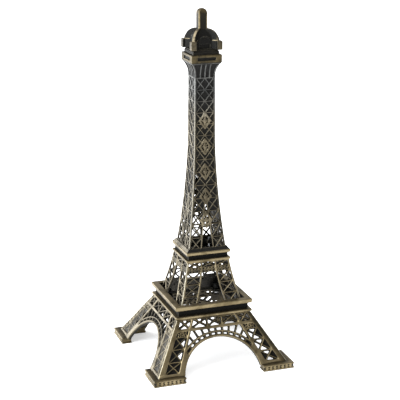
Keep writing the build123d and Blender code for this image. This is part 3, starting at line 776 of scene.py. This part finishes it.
def rim_shape(node, opening, lip, gusset):
    """A platform rim: an upright band below a slightly proud, rounded lip, with corner gussets inside."""
    bm = bmesh.new()
    (_, _, low), (half, _, high) = limits(node)
    square_sweep(bm, [(opening, low), (half - lip, low), (half - lip * 0.6, low + (high - low) * 0.35),
                      (half, high - 1.2), (half, high - 0.5), (half - 0.5, high), (opening, high)])
    if gusset:
        far = opening + 0.5
        for sx, sy in QUADRANTS:
            box(bm, (sx * gusset, sy * gusset, low), (sx * far, sy * far, high))
    return bm


# ---- feet ----
def foot_shape():
    """The L-shaped plinth under the front left corner: two moulded arms with a row of ornaments."""
    bm = bmesh.new()
    outer, inner, top = foot_low.x, foot_high.x, foot_high.z
    # Each moulding has its lowest and highest z, and how far it is set back.
    mouldings = ((0.0, 1.0, 0.2), (0.7, 1.6, 0.0), (1.4, top - 1.5, 0.75), (top - 1.7, top - 0.7, 0.1),
                 (top - 0.9, top, 0.45))
    for low, high, inset in mouldings:
        near, far = outer + inset, outer + FOOT_WIDE - inset * 0.5
        box(bm, (near, near, low), (inner - inset, far, high))
        box(bm, (near, near, low), (far, inner - inset, high))
    middle, tall = (1.5 + top - 1.6) / 2, (top - 3.1) / 2
    pitch = (inner - outer - 4.0) / FOOT_LOZENGES
    corners = ((-1.9, 0), (0, -tall), (1.9, 0), (0, tall))
    for turn in range(2):
        for i in range(FOOT_LOZENGES):
            along = outer + 2.0 + pitch * (i + 0.5)
            rings = [[(along + x, outer + 0.9 - rise, middle + up) for x, up in corners]
                     for rise in (0.0, 0.75)]
            skin(bm, [[(x, y, z) if turn else (y, x, z) for x, y, z in ring] for ring in rings])
    return bm


def foot_rubbed(places, normals):
    """The raised edges and ornaments are rubbed, the ground behind the ornaments stays dark."""
    near = np.minimum(places[:, 0], places[:, 1]) - foot_low.x
    face = smoothstep(0.9, 0.3, near)
    groove = smoothstep(0.9, 0.3, np.abs(near - 5.6))
    ledge = smoothstep(2.2, 3.4, near)
    lip = smoothstep(0.5, 0.9, normals[:, 2]) * (0.95 - 0.5 * ledge) * (1 - groove)
    ends = smoothstep(0.5, 0.9, np.maximum(normals[:, 0], normals[:, 1])) * 0.75
    return np.maximum(np.maximum(face, lip), ends) * smoothstep(-0.9, -0.2, normals[:, 2])


# ---- crown ----
def neck_half(z):
    """Half width of the flaring neck at height z."""
    rise = (z - neck_low.z) / (neck_high.z - neck_low.z)
    return NECK_HALF + (neck_high.x - NECK_HALF) * max(rise - 0.12, 0) ** NECK_FLARE / 0.88 ** NECK_FLARE


def neck_shape():
    """A fluted neck: a core that flares, with ribs standing on its faces and at its corners."""
    bm = bmesh.new()
    levels = spaced(neck_low.z, neck_high.z, 14)
    square_stack(bm, [(neck_half(z) - 1.2, z) for z in levels])
    faces = [(-neck_half(z), z) for z in levels[:-1]]
    for angle in range(0, 360, 90):
        for at in (-5.0, 0.0, 5.0):
            turned_block(bm, angle, [[(at + x, face + y, z) for x, y in NECK_RIB] for face, z in faces])
        corner = ((0, 0), (1.5, 0), (1.5, 1.5), (0, 1.5))
        turned_block(bm, angle, [[(edge + x, edge + y, z) for x, y in corner] for edge, z in faces])
    square_stack(bm, [(neck_high.x - 0.6, neck_high.z - 1.0), (neck_high.x, neck_high.z - 0.4),
                      (neck_high.x, neck_high.z)])
    foot = neck_half(neck_low.z) - 0.3
    square_stack(bm, [(foot, neck_low.z), (foot, neck_low.z + 1.0)])
    return bm


def neck_rubbed(places, normals):
    face = np.array([neck_half(z) for z in places[:, 2]])
    return smoothstep(-0.9, -0.2, reach_at(places) - face) * 0.65 + 0.1


def gallery_shape():
    """The gallery box: bands above and below, posts at the corners, a sunken panel on each side."""
    bm = bmesh.new()
    half, low, high = gallery_high.x, gallery_low.z, gallery_high.z
    inside, post = half - 4, 10.1
    square_stack(bm, [(half - 1.3, low), (half - 1.3, high)])
    square_sweep(bm, [(inside, low), (half - 0.6, low), (half, low + 0.7), (half, low + 3.0),
                      (inside, low + 3.0)])
    square_sweep(bm, [(inside, high - 2.8), (half, high - 2.8), (half, high - 0.7), (half - 0.6, high),
                      (inside, high)])
    for sx, sy in QUADRANTS:
        box(bm, (sx * post, sy * post, low + 1), (sx * half, sy * half, high - 1))
    return bm


def gallery_rubbed(places, normals):
    outside = smoothstep(-1.0, -0.2, reach_at(places) - gallery_high.x)
    return outside * smoothstep(-0.8, 0.0, normals[:, 2]) * 0.6


def step_shape():
    bm = bmesh.new()
    half = step_high.x
    square_stack(bm, [(half, step_low.z), (half, step_high.z - 1.6), (half - 0.9, step_high.z - 0.9),
                      (half - 0.9, step_high.z)])
    return bm


def lantern_shape():
    """The lantern: a square core under a vault, diagonal arms with corner blocks, arched ribs."""
    bm = bmesh.new()
    low, top = lantern_low.z, lantern_high.z
    block_top = low + BLOCK_TALL
    half, block = lantern_high.x, 6.0
    square_stack(bm, [(9.0, low), (9.0, block_top + 3.0)])
    square_stack(bm, [(11.2, low), (11.2, low + 0.9)])
    hoop = []
    for x, z in [(-5.4, low), *arc((0, low + HOOP_RISE), 5.4, -90, 90, 12), (5.4, low)]:
        scale = 1 + 1.3 / max(math.hypot(x, max(z - low - HOOP_RISE, 0)), 1)
        wide_z = low + HOOP_RISE + (z - low - HOOP_RISE) * scale if z > low + HOOP_RISE else z
        hoop.append([(x, -8.8, z), (x, -10.5, z), (x * scale, -10.5, wide_z), (x * scale, -8.8, wide_z)])
    for angle in range(0, 360, 90):
        turned_block(bm, angle, hoop)
    square_stack(bm, [(10.4, block_top - 3.6), (10.4, block_top - 0.3), (10.2, block_top + 2.0),
                      (9.2, block_top + 5.4), (7.4, block_top + 8.6), (5.2, block_top + 10.8), (4.3, top)])
    centre = half - block / 2
    for sx, sy in QUADRANTS:
        middle = Vector((sx * centre, sy * centre, 0))
        rings = []
        for inset, z in ((0.5, low), (0.0, low + 0.5), (0.0, block_top - 0.5), (0.5, block_top)):
            reach = block / 2 - inset
            rings.append([middle + Vector((cx * reach, cy * reach, z)) for cx, cy in SQUARE])
        skin(bm, rings)
    end = centre * 1.4
    arm = [[(6, -reach, z), (end, -reach, z), (end, reach, z), (6, reach, z)]
           for reach, z in ((2.3, low + 0.4), (2.3, block_top - 0.4), (1.9, block_top))]
    outline = ((20.0, block_top - 1.0), (20.0, block_top), (19.3, block_top + 2.6), (18.0, block_top + 5.0),
               (15.9, block_top + 7.9), (12.9, block_top + 10.3), (9.4, block_top + 11.6), (5.6, top - 0.1),
               (4.0, top - 0.1), (4.0, block_top - 1.0))
    rib = []
    for y, inset in ((-1.7, 0.35), (-1.35, 0.0), (1.35, 0.0), (1.7, 0.35)):
        rib.append([(x - inset if x > 4 else x, y, z - inset if z > block_top else z) for x, z in outline])
    for angle in (45, 135, 225, 315):
        turned_block(bm, angle, arm)
        turned_block(bm, angle, rib)
    return bm


def lantern_wear_and_highlights(places, normals):
    """The ribs' crests, the arms' top edges and the corner blocks are lighter, partly as rubbed wear and
    partly as painted highlight. The rest stays dark.
    """
    x, y, z = places.T
    diagonal = np.minimum(np.abs(x - y), np.abs(x + y)) / math.sqrt(2)
    crest = smoothstep(2.6, 1.4, diagonal) * smoothstep(0.2, 0.8, normals[:, 2])
    nearer_axis = np.minimum(np.abs(x), np.abs(y))
    blocks = smoothstep(11.0, 12.0, nearer_axis)
    # Painted highlight along the top edges of the blocks and arms.
    above = z - lantern_low.z - BLOCK_TALL
    top = smoothstep(-0.6, -0.1, above) * smoothstep(0.9, 0.3, above) * smoothstep(7.0, 8.5, nearer_axis)
    # A stronger painted highlight on the front-left rib, on the lit side.
    near = smoothstep(0.0, 6.0, -x) * smoothstep(0.0, 6.0, -y)
    near = near * smoothstep(0.1, 0.5, normals[:, 2] - normals[:, 1])
    crest = np.maximum(crest * 0.7, crest * near * 1.1)
    return np.maximum(np.maximum(crest, blocks * 0.58), top * 0.9)


def mast_shape():
    """The square mast with rounded edges and a domed tip."""
    bm = bmesh.new()
    half = mast_high.x
    tip = mast_high.z
    side = []
    for i in range(32):
        angle = 2 * math.pi * (i + 0.5) / 32
        c, s = math.cos(angle), math.sin(angle)
        side.append((abs(c) ** 0.3 * math.copysign(1, c), abs(s) ** 0.3 * math.copysign(1, s)))
    rings = [[(half * x, half * y, z) for x, y in side] for z in (lantern_high.z - 1.5, tip - MAST_DOME)]
    for i in range(1, 9):
        angle = math.radians(90 * i / 9)
        scale, z = math.cos(angle) ** 0.8, tip - MAST_DOME + MAST_DOME * math.sin(angle)
        rings.append([(half * scale * x, half * scale * y, z) for x, y in side])
    rings.append([(0.4 * x, 0.4 * y, tip) for x, y in side])
    skin(bm, rings)
    return bm


def mast_highlights(places, normals):
    """Painted highlights on the tip and the four upright edges."""
    x, y, z = places.T
    edges = smoothstep(-2.4, -1.0, np.minimum(np.abs(x), np.abs(y)) - mast_high.x)
    return np.maximum(smoothstep(-9.0, -2.0, z - mast_high.z) * 0.7, edges * 0.85) + 0.12


# ---- finishes ----
# Colours from the dark recess to the rubbed tan. The edge colours serve both edge wear and a painted
# highlight.
RECESS = (0.006, 0.0058, 0.005)
TAN = ((0.0, RECESS), (0.4, (0.024, 0.020, 0.013)), (0.75, (0.110, 0.086, 0.045)),
       (1.0, (0.215, 0.172, 0.098)))
TAN_EDGE = (0.43, 0.385, 0.27)
PALE = ((0.0, RECESS), (0.4, (0.022, 0.022, 0.022)), (0.75, (0.085, 0.084, 0.080)),
        (1.0, (0.150, 0.148, 0.140)))
PALE_EDGE = (0.32, 0.32, 0.30)
SHAFT_FADE = (240.0, 300.0)


def greyed(mesh, least, fade=None):
    """Marks how grey the finish is. Between the two heights in fade it rises to all grey."""
    z = read(mesh.vertices, "co", 3)[:, 2]
    keep_values(mesh, "grey", np.maximum(smoothstep(*fade, z) if fade else 0 * z, least))
    return mesh


def shaded_right(mesh):
    """Makes the outer strip of a base panel's right leg darker, towards the tower's corner."""
    x, _, z = read(mesh.vertices, "co", 3).T
    outside = smoothstep(8.5, 2.0, base_half(z) - x)
    keep_values(mesh, "relief", kept_values(mesh, "relief") * (1 - 0.55 * outside))
    return mesh


def shaded_front(mesh):
    """Paints shade on a front shaft panel: darker overall, most of all along its corner ribs."""
    x, _, z = read(mesh.vertices, "co", 3).T
    rib = smoothstep(CORNER_RIB + 0.3, CORNER_RIB - 0.3, shaft_half(z) - np.abs(x))
    keep_values(mesh, "relief", kept_values(mesh, "relief") * (0.82 - 0.3 * rib))
    return mesh


class Nodes:
    """A short way to write a material's node tree."""

    def __init__(self, name):
        self.material = bpy.data.materials.new(name)
        self.material.use_nodes = True
        self.tree = self.material.node_tree

    def add(self, kind, **settings):
        node = self.tree.nodes.new(kind)
        for key, value in settings.items():
            setattr(node, key, value)
        return node

    def fill(self, socket, value):
        """Links an output to a socket, or sets a number or a colour on the socket itself."""
        if isinstance(value, bpy.types.NodeSocket):
            self.tree.links.new(value, socket)
        else:
            socket.default_value = (*value, 1) if isinstance(value, tuple) else value

    def shade(self, **values):
        """Fills the surface shader's sockets, with underscores for the spaces in their names."""
        sockets = self.tree.nodes["Principled BSDF"].inputs
        for name, value in values.items():
            self.fill(sockets[name.replace("_", " ")], value)

    def noise(self, scale, detail=4.0):
        place = self.add("ShaderNodeTexCoord")
        noise = self.add("ShaderNodeTexNoise")
        self.fill(noise.inputs["Scale"], scale)
        self.fill(noise.inputs["Detail"], detail)
        self.fill(noise.inputs["Roughness"], 0.6)
        self.fill(noise.inputs["Vector"], place.outputs["Object"])
        return noise.outputs["Fac"]

    def maths(self, operation, a, b, clamp=False):
        node = self.add("ShaderNodeMath", operation=operation, use_clamp=clamp)
        self.fill(node.inputs[0], a)
        self.fill(node.inputs[1], b)
        return node.outputs[0]

    def swayed(self, value, noise, amount):
        """A value with a noise added that is centred on zero."""
        return self.maths("ADD", value, self.maths("MULTIPLY", self.maths("SUBTRACT", noise, 0.5), amount))

    def ramp(self, factor, stops):
        node = self.add("ShaderNodeValToRGB")
        ramp = node.color_ramp
        while len(ramp.elements) < len(stops):
            ramp.elements.new(0.5)
        for element, (position, colour) in zip(ramp.elements, stops):
            element.position = position
            element.color = (*colour, 1) if isinstance(colour, tuple) else (colour, colour, colour, 1)
        self.fill(node.inputs[0], factor)
        return node.outputs[0]

    def mix(self, factor, a, b):
        node = self.add("ShaderNodeMix", data_type="RGBA")
        for socket, value in zip((node.inputs[0], node.inputs[6], node.inputs[7]), (factor, a, b)):
            self.fill(socket, value)
        return node.outputs[2]

    def attribute(self, name):
        return self.add("ShaderNodeAttribute", attribute_name=name).outputs["Fac"]


def bronze(name, lift=0.0, gloss=0.12):
    """Antique bronze: dark in the recesses, tan where it is rubbed or where light is painted on, pale along
    the edges as edge wear and painted highlight.

    The attribute "grey" fades the tan to the grey of the upper shaft and the neck. On the left sides it is a
    painted silver sheen, and on the back middle panel it is painted light inside.
    """
    nodes = Nodes(name)
    relief, edge, grey = (nodes.attribute(kept) for kept in ("relief", "edge", "grey"))
    blotch = nodes.noise(260.0)
    grain = nodes.noise(2600.0, 3.0)
    patch = nodes.noise(45.0, 2.0)
    relief = nodes.maths("MULTIPLY", relief, nodes.maths("ADD", nodes.maths("MULTIPLY", patch, 1.5), 0.2))
    wear_and_painted_light = nodes.swayed(nodes.swayed(relief, blotch, 0.5), grain, 0.35)
    wear_and_painted_light = nodes.maths("ADD", wear_and_painted_light, lift, clamp=True)
    colour = nodes.mix(grey, nodes.ramp(wear_and_painted_light, TAN), nodes.ramp(wear_and_painted_light, PALE))
    edge_wear_and_highlight = nodes.maths("MULTIPLY", edge, nodes.maths("ADD", blotch, 0.25), clamp=True)
    colour = nodes.mix(edge_wear_and_highlight, colour, nodes.mix(grey, TAN_EDGE, PALE_EDGE))
    rough = nodes.swayed(nodes.maths("SUBTRACT", 0.52, nodes.maths("MULTIPLY", wear_and_painted_light, 0.16)), grain, 0.2)
    bump = nodes.add("ShaderNodeBump")
    nodes.fill(bump.inputs["Strength"], 0.45)
    nodes.fill(bump.inputs["Distance"], 0.00012)
    nodes.fill(bump.inputs["Height"], nodes.maths("ADD", grain, blotch))
    nodes.shade(Base_Color=colour, Metallic=nodes.ramp(wear_and_painted_light, ((0.0, 0.3), (0.6, 0.95))), Roughness=rough,
                Specular_IOR_Level=gloss, Normal=bump.outputs["Normal"])
    return nodes.material


def screw_steel():
    nodes = Nodes("screw_steel")
    grain = nodes.noise(1800.0)
    nodes.shade(Base_Color=nodes.ramp(grain, ((0.3, 0.3), (0.7, 0.5))), Metallic=1.0,
                Roughness=nodes.ramp(grain, ((0.3, 0.35), (0.7, 0.5))))
    return nodes.material


def floor_white():
    nodes = Nodes("floor")
    nodes.shade(Base_Color=nodes.ramp(nodes.noise(6.0, 2.0), ((0.3, 0.93), (0.7, 0.95))), Roughness=0.9,
                Specular_IOR_Level=0.1, Emission_Color=(1, 1, 1), Emission_Strength=0.5)
    return nodes.material


# ---- the tower ----
def with_lugs(mesh):
    """Adds the two screw lugs inside a middle panel's lower corners."""
    bm = bmesh.new()
    bm.from_mesh(mesh)
    low = middle_low.z
    for sign in (1, -1):
        start = len(bm.verts)
        box(bm, (sign * LUG_INNER, -LUG_BACK, low), (sign * LUG_OUTER, -LUG_INNER, low + LUG_TALL))
        bm.verts.ensure_lookup_table()
        lug = set(bm.verts[start:])
        bmesh.ops.recalc_face_normals(bm, faces=[f for f in bm.faces if f.verts[0] in lug])
    bm.to_mesh(mesh)
    bm.free()
    return mesh


def skirt_shape():
    bm = bmesh.new()
    outside, inside = SKIRT_TOP
    square_sweep(bm, [(-skirt_low.x - SKIRT_WALL, skirt_low.z), (-skirt_low.x, skirt_low.z),
                      (outside, skirt_high.z), (inside, skirt_high.z)])
    return bm


def build_tower():
    bright = bronze("antique_bronze")
    shadow = bronze("darkened_bronze", lift=-0.3, gloss=0.03)

    foot = solid_casting(foot_shape(), 0.36, foot_rubbed, 0.4)
    for quarter, corner in enumerate(CORNERS):
        finish_piece(turned(foot, quarter), f"foot_{corner}", bright)

    blind = (EVERY, (0, 1, 2), (0, 1, 2))
    braced = ((1, 3), (1,), (1,))
    open_leg = face_casting(base_face(blind, braced), BASE_VOXEL, base_place, base_half, 0.4)
    open_leg = shaded_right(open_leg)
    closed = base_face(blind, (EVERY, EVERY, EVERY), SHALLOW_WEB)
    closed = face_casting(closed, BASE_VOXEL, base_place, base_half, 0.35)
    for quarter, side in enumerate(SIDES):
        source = closed if side in ("back", "left") else open_leg
        # The left side's grey is a painted silver sheen where the light from the left falls.
        mesh = greyed(turned(source, quarter), 0.4 if side == "left" else 0.0)
        finish_piece(mesh, f"base_panel_{side}", bright)

    bend = (PANEL_VOXEL, curved_place(middle_half), middle_half, PANEL_KEPT)
    plain = face_casting(middle_face(), *bend)
    back = face_casting(middle_face(closed_below=True), *bend)
    sources = {"front": with_lugs(plain.copy()), "right": plain, "back": with_lugs(back), "left": plain}
    for quarter, side in enumerate(SIDES):
        # The left side's extra grey is a painted silver sheen. The back's grey is painted light on the inside
        # seen through the openings.
        mesh = greyed(turned(sources[side], quarter), {"left": 0.4, "back": 0.7}.get(side, 0.15))
        finish_piece(mesh, f"middle_panel_{side}", bright)

    bend = (PANEL_VOXEL, curved_place(shaft_half), shaft_half, PANEL_KEPT)
    front = shaded_front(face_casting(shaft_face(FRONT_BLIND, ornamented=True), *bend, corner_wear_and_highlight=0.55))
    flank = face_casting(shaft_face(SIDE_BLIND), *bend, corner_wear_and_highlight=0.55)
    back = face_casting(shaft_face(BACK_BLIND), *bend)
    for quarter, (side, mesh) in enumerate(zip(SIDES, (front, flank, back, flank))):
        # The left side's extra grey is a painted silver sheen.
        mesh = greyed(turned(mesh, quarter), 0.55 if side == "left" else 0.3, SHAFT_FADE)
        finish_piece(mesh, f"shaft_panel_{side}", bright)

    # Node, half width of the opening, lip, the gussets' inner half width, where it is rubbed.
    rims = (
        ("first_platform_plate", 34.0, 0.3, 24.0, rubbed_beyond(collar_high.x)),
        ("first_platform_collar", collar_high.x - 2.5, 0.1, None, rubbed_evenly(0.0)),
        ("first_platform_deck", 36.8, 0.6, None, rubbed_beyond(37.0)),
        ("second_platform_plate", 18.5, 0.3, 11.0, rubbed_beyond(upper_collar_high.x)),
        ("second_platform_collar", upper_collar_high.x - 2.4, 0.1, None, rubbed_evenly(0.0)),
        ("second_platform_deck", 18.5, 0.5, 11.0, rubbed_beyond(22.5)),
    )
    for node, opening, lip, gusset, rubbed in rims:
        mesh = solid_casting(rim_shape(node, opening, lip, gusset), 0.4, rubbed, 0.3)
        finish = (shadow, "darkened_bronze") if "collar" in node else (bright, "antique_bronze")
        finish_piece(mesh, node, *finish)

    neck_finish = (bronze("neck_bronze"), "darkened_bronze")
    # The skirt is painted a lit silver on its left side and painted dark in front.
    skirt = greyed(solid_casting(skirt_shape(), SOLID_VOXEL, skirt_lit_left, 0.4), 0.5)
    finish_piece(skirt, "shaft_skirt", *neck_finish)
    neck = greyed(solid_casting(neck_shape(), SOLID_VOXEL, neck_rubbed, 0.5), 1.0)
    finish_piece(neck, "crown_neck", *neck_finish)
    gallery = solid_casting(gallery_shape(), SOLID_VOXEL, gallery_rubbed, 0.4)
    finish_piece(gallery, "crown_gallery", bright)
    step = solid_casting(step_shape(), SOLID_VOXEL, rubbed_evenly(0.06), 0.4)
    finish_piece(step, "lantern_step", bright)
    lantern = greyed(solid_casting(lantern_shape(), SOLID_VOXEL, lantern_wear_and_highlights, 0.5), 0.25)
    finish_piece(lantern, "lantern_dome", bright)
    finish_piece(solid_casting(mast_shape(), 0.25, mast_highlights, 0.5), "mast", bright)

    steel = screw_steel()
    for node in ("middle_tier_screws", "shaft_screws", "crown_screw"):
        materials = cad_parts[node].data.materials
        materials.clear()
        materials.append(steel)


# ---- studio ----
FLOOR_REACH = 12.0


def add_camera():
    """The camera stands to the front left, a little above, and looks at the middle of the tower."""
    target = Vector((-1.22, 0.42, 174.35)) * MM
    distance = 1260.0 * MM
    azimuth, elevation, roll = (math.radians(angle) for angle in (-19.49, 16.15, 0.15))
    back = Vector((math.sin(azimuth) * math.cos(elevation), -math.cos(azimuth) * math.cos(elevation),
                   math.sin(elevation)))
    right = Vector((math.cos(azimuth), math.sin(azimuth), 0))
    up = back.cross(right)
    right, up = right * math.cos(roll) + up * math.sin(roll), up * math.cos(roll) - right * math.sin(roll)
    data = bpy.data.cameras.new("camera")
    data.sensor_width = 36.0
    data.lens = 105.28
    data.clip_start, data.clip_end = 0.05, 50.0
    camera = add_object("camera", data)
    turn = Matrix((right, up, back)).transposed().to_4x4()
    camera.matrix_world = Matrix.Translation(target + back * distance) @ turn
    bpy.context.scene.camera = camera


def aimed_lamp(name, data, aim):
    """A lamp that shines along a direction."""
    lamp = add_object(name, data)
    lamp.rotation_euler = Vector(aim).to_track_quat("-Z", "Y").to_euler()
    return lamp


def add_softbox(name, place, aim, size, power, colour):
    data = bpy.data.lights.new(name, "AREA")
    data.shape = "RECTANGLE"
    data.size, data.size_y = size
    data.energy = power
    data.color = colour
    aimed_lamp(name, data, Vector(aim) - Vector(place)).location = place


def add_studio():
    bm = bmesh.new()
    bmesh.ops.create_grid(bm, x_segments=4, y_segments=4, size=FLOOR_REACH)
    mesh = bpy.data.meshes.new("floor")
    bm.to_mesh(mesh)
    bm.free()
    mesh.materials.append(floor_white())
    floor = add_object("floor", mesh)
    floor.location.z = cad_low.z

    world = bpy.data.worlds.new("studio")
    world.use_nodes = True
    background = world.node_tree.nodes["Background"]
    background.inputs["Color"].default_value = (1, 1, 1, 1)
    background.inputs["Strength"].default_value = 0.6
    bpy.context.scene.world = world

    sun = bpy.data.lights.new("sky", "SUN")
    sun.energy = 2.6
    sun.angle = math.radians(70)
    aimed_lamp("sky", sun, (0.5, 0.05, -1.0))
    middle = (0, 0, cad_high.z / 2)
    add_softbox("key", (-1.3, -0.35, 0.7), middle, (1.0, 1.2), 34.0, (0.90, 0.95, 1.0))
    add_softbox("rim", (-1.15, 1.25, 0.45), middle, (1.0, 0.9), 17.0, (0.94, 0.97, 1.0))
    bpy.context.scene.view_settings.view_transform = "Standard"


add_camera()
build_tower()
add_studio()
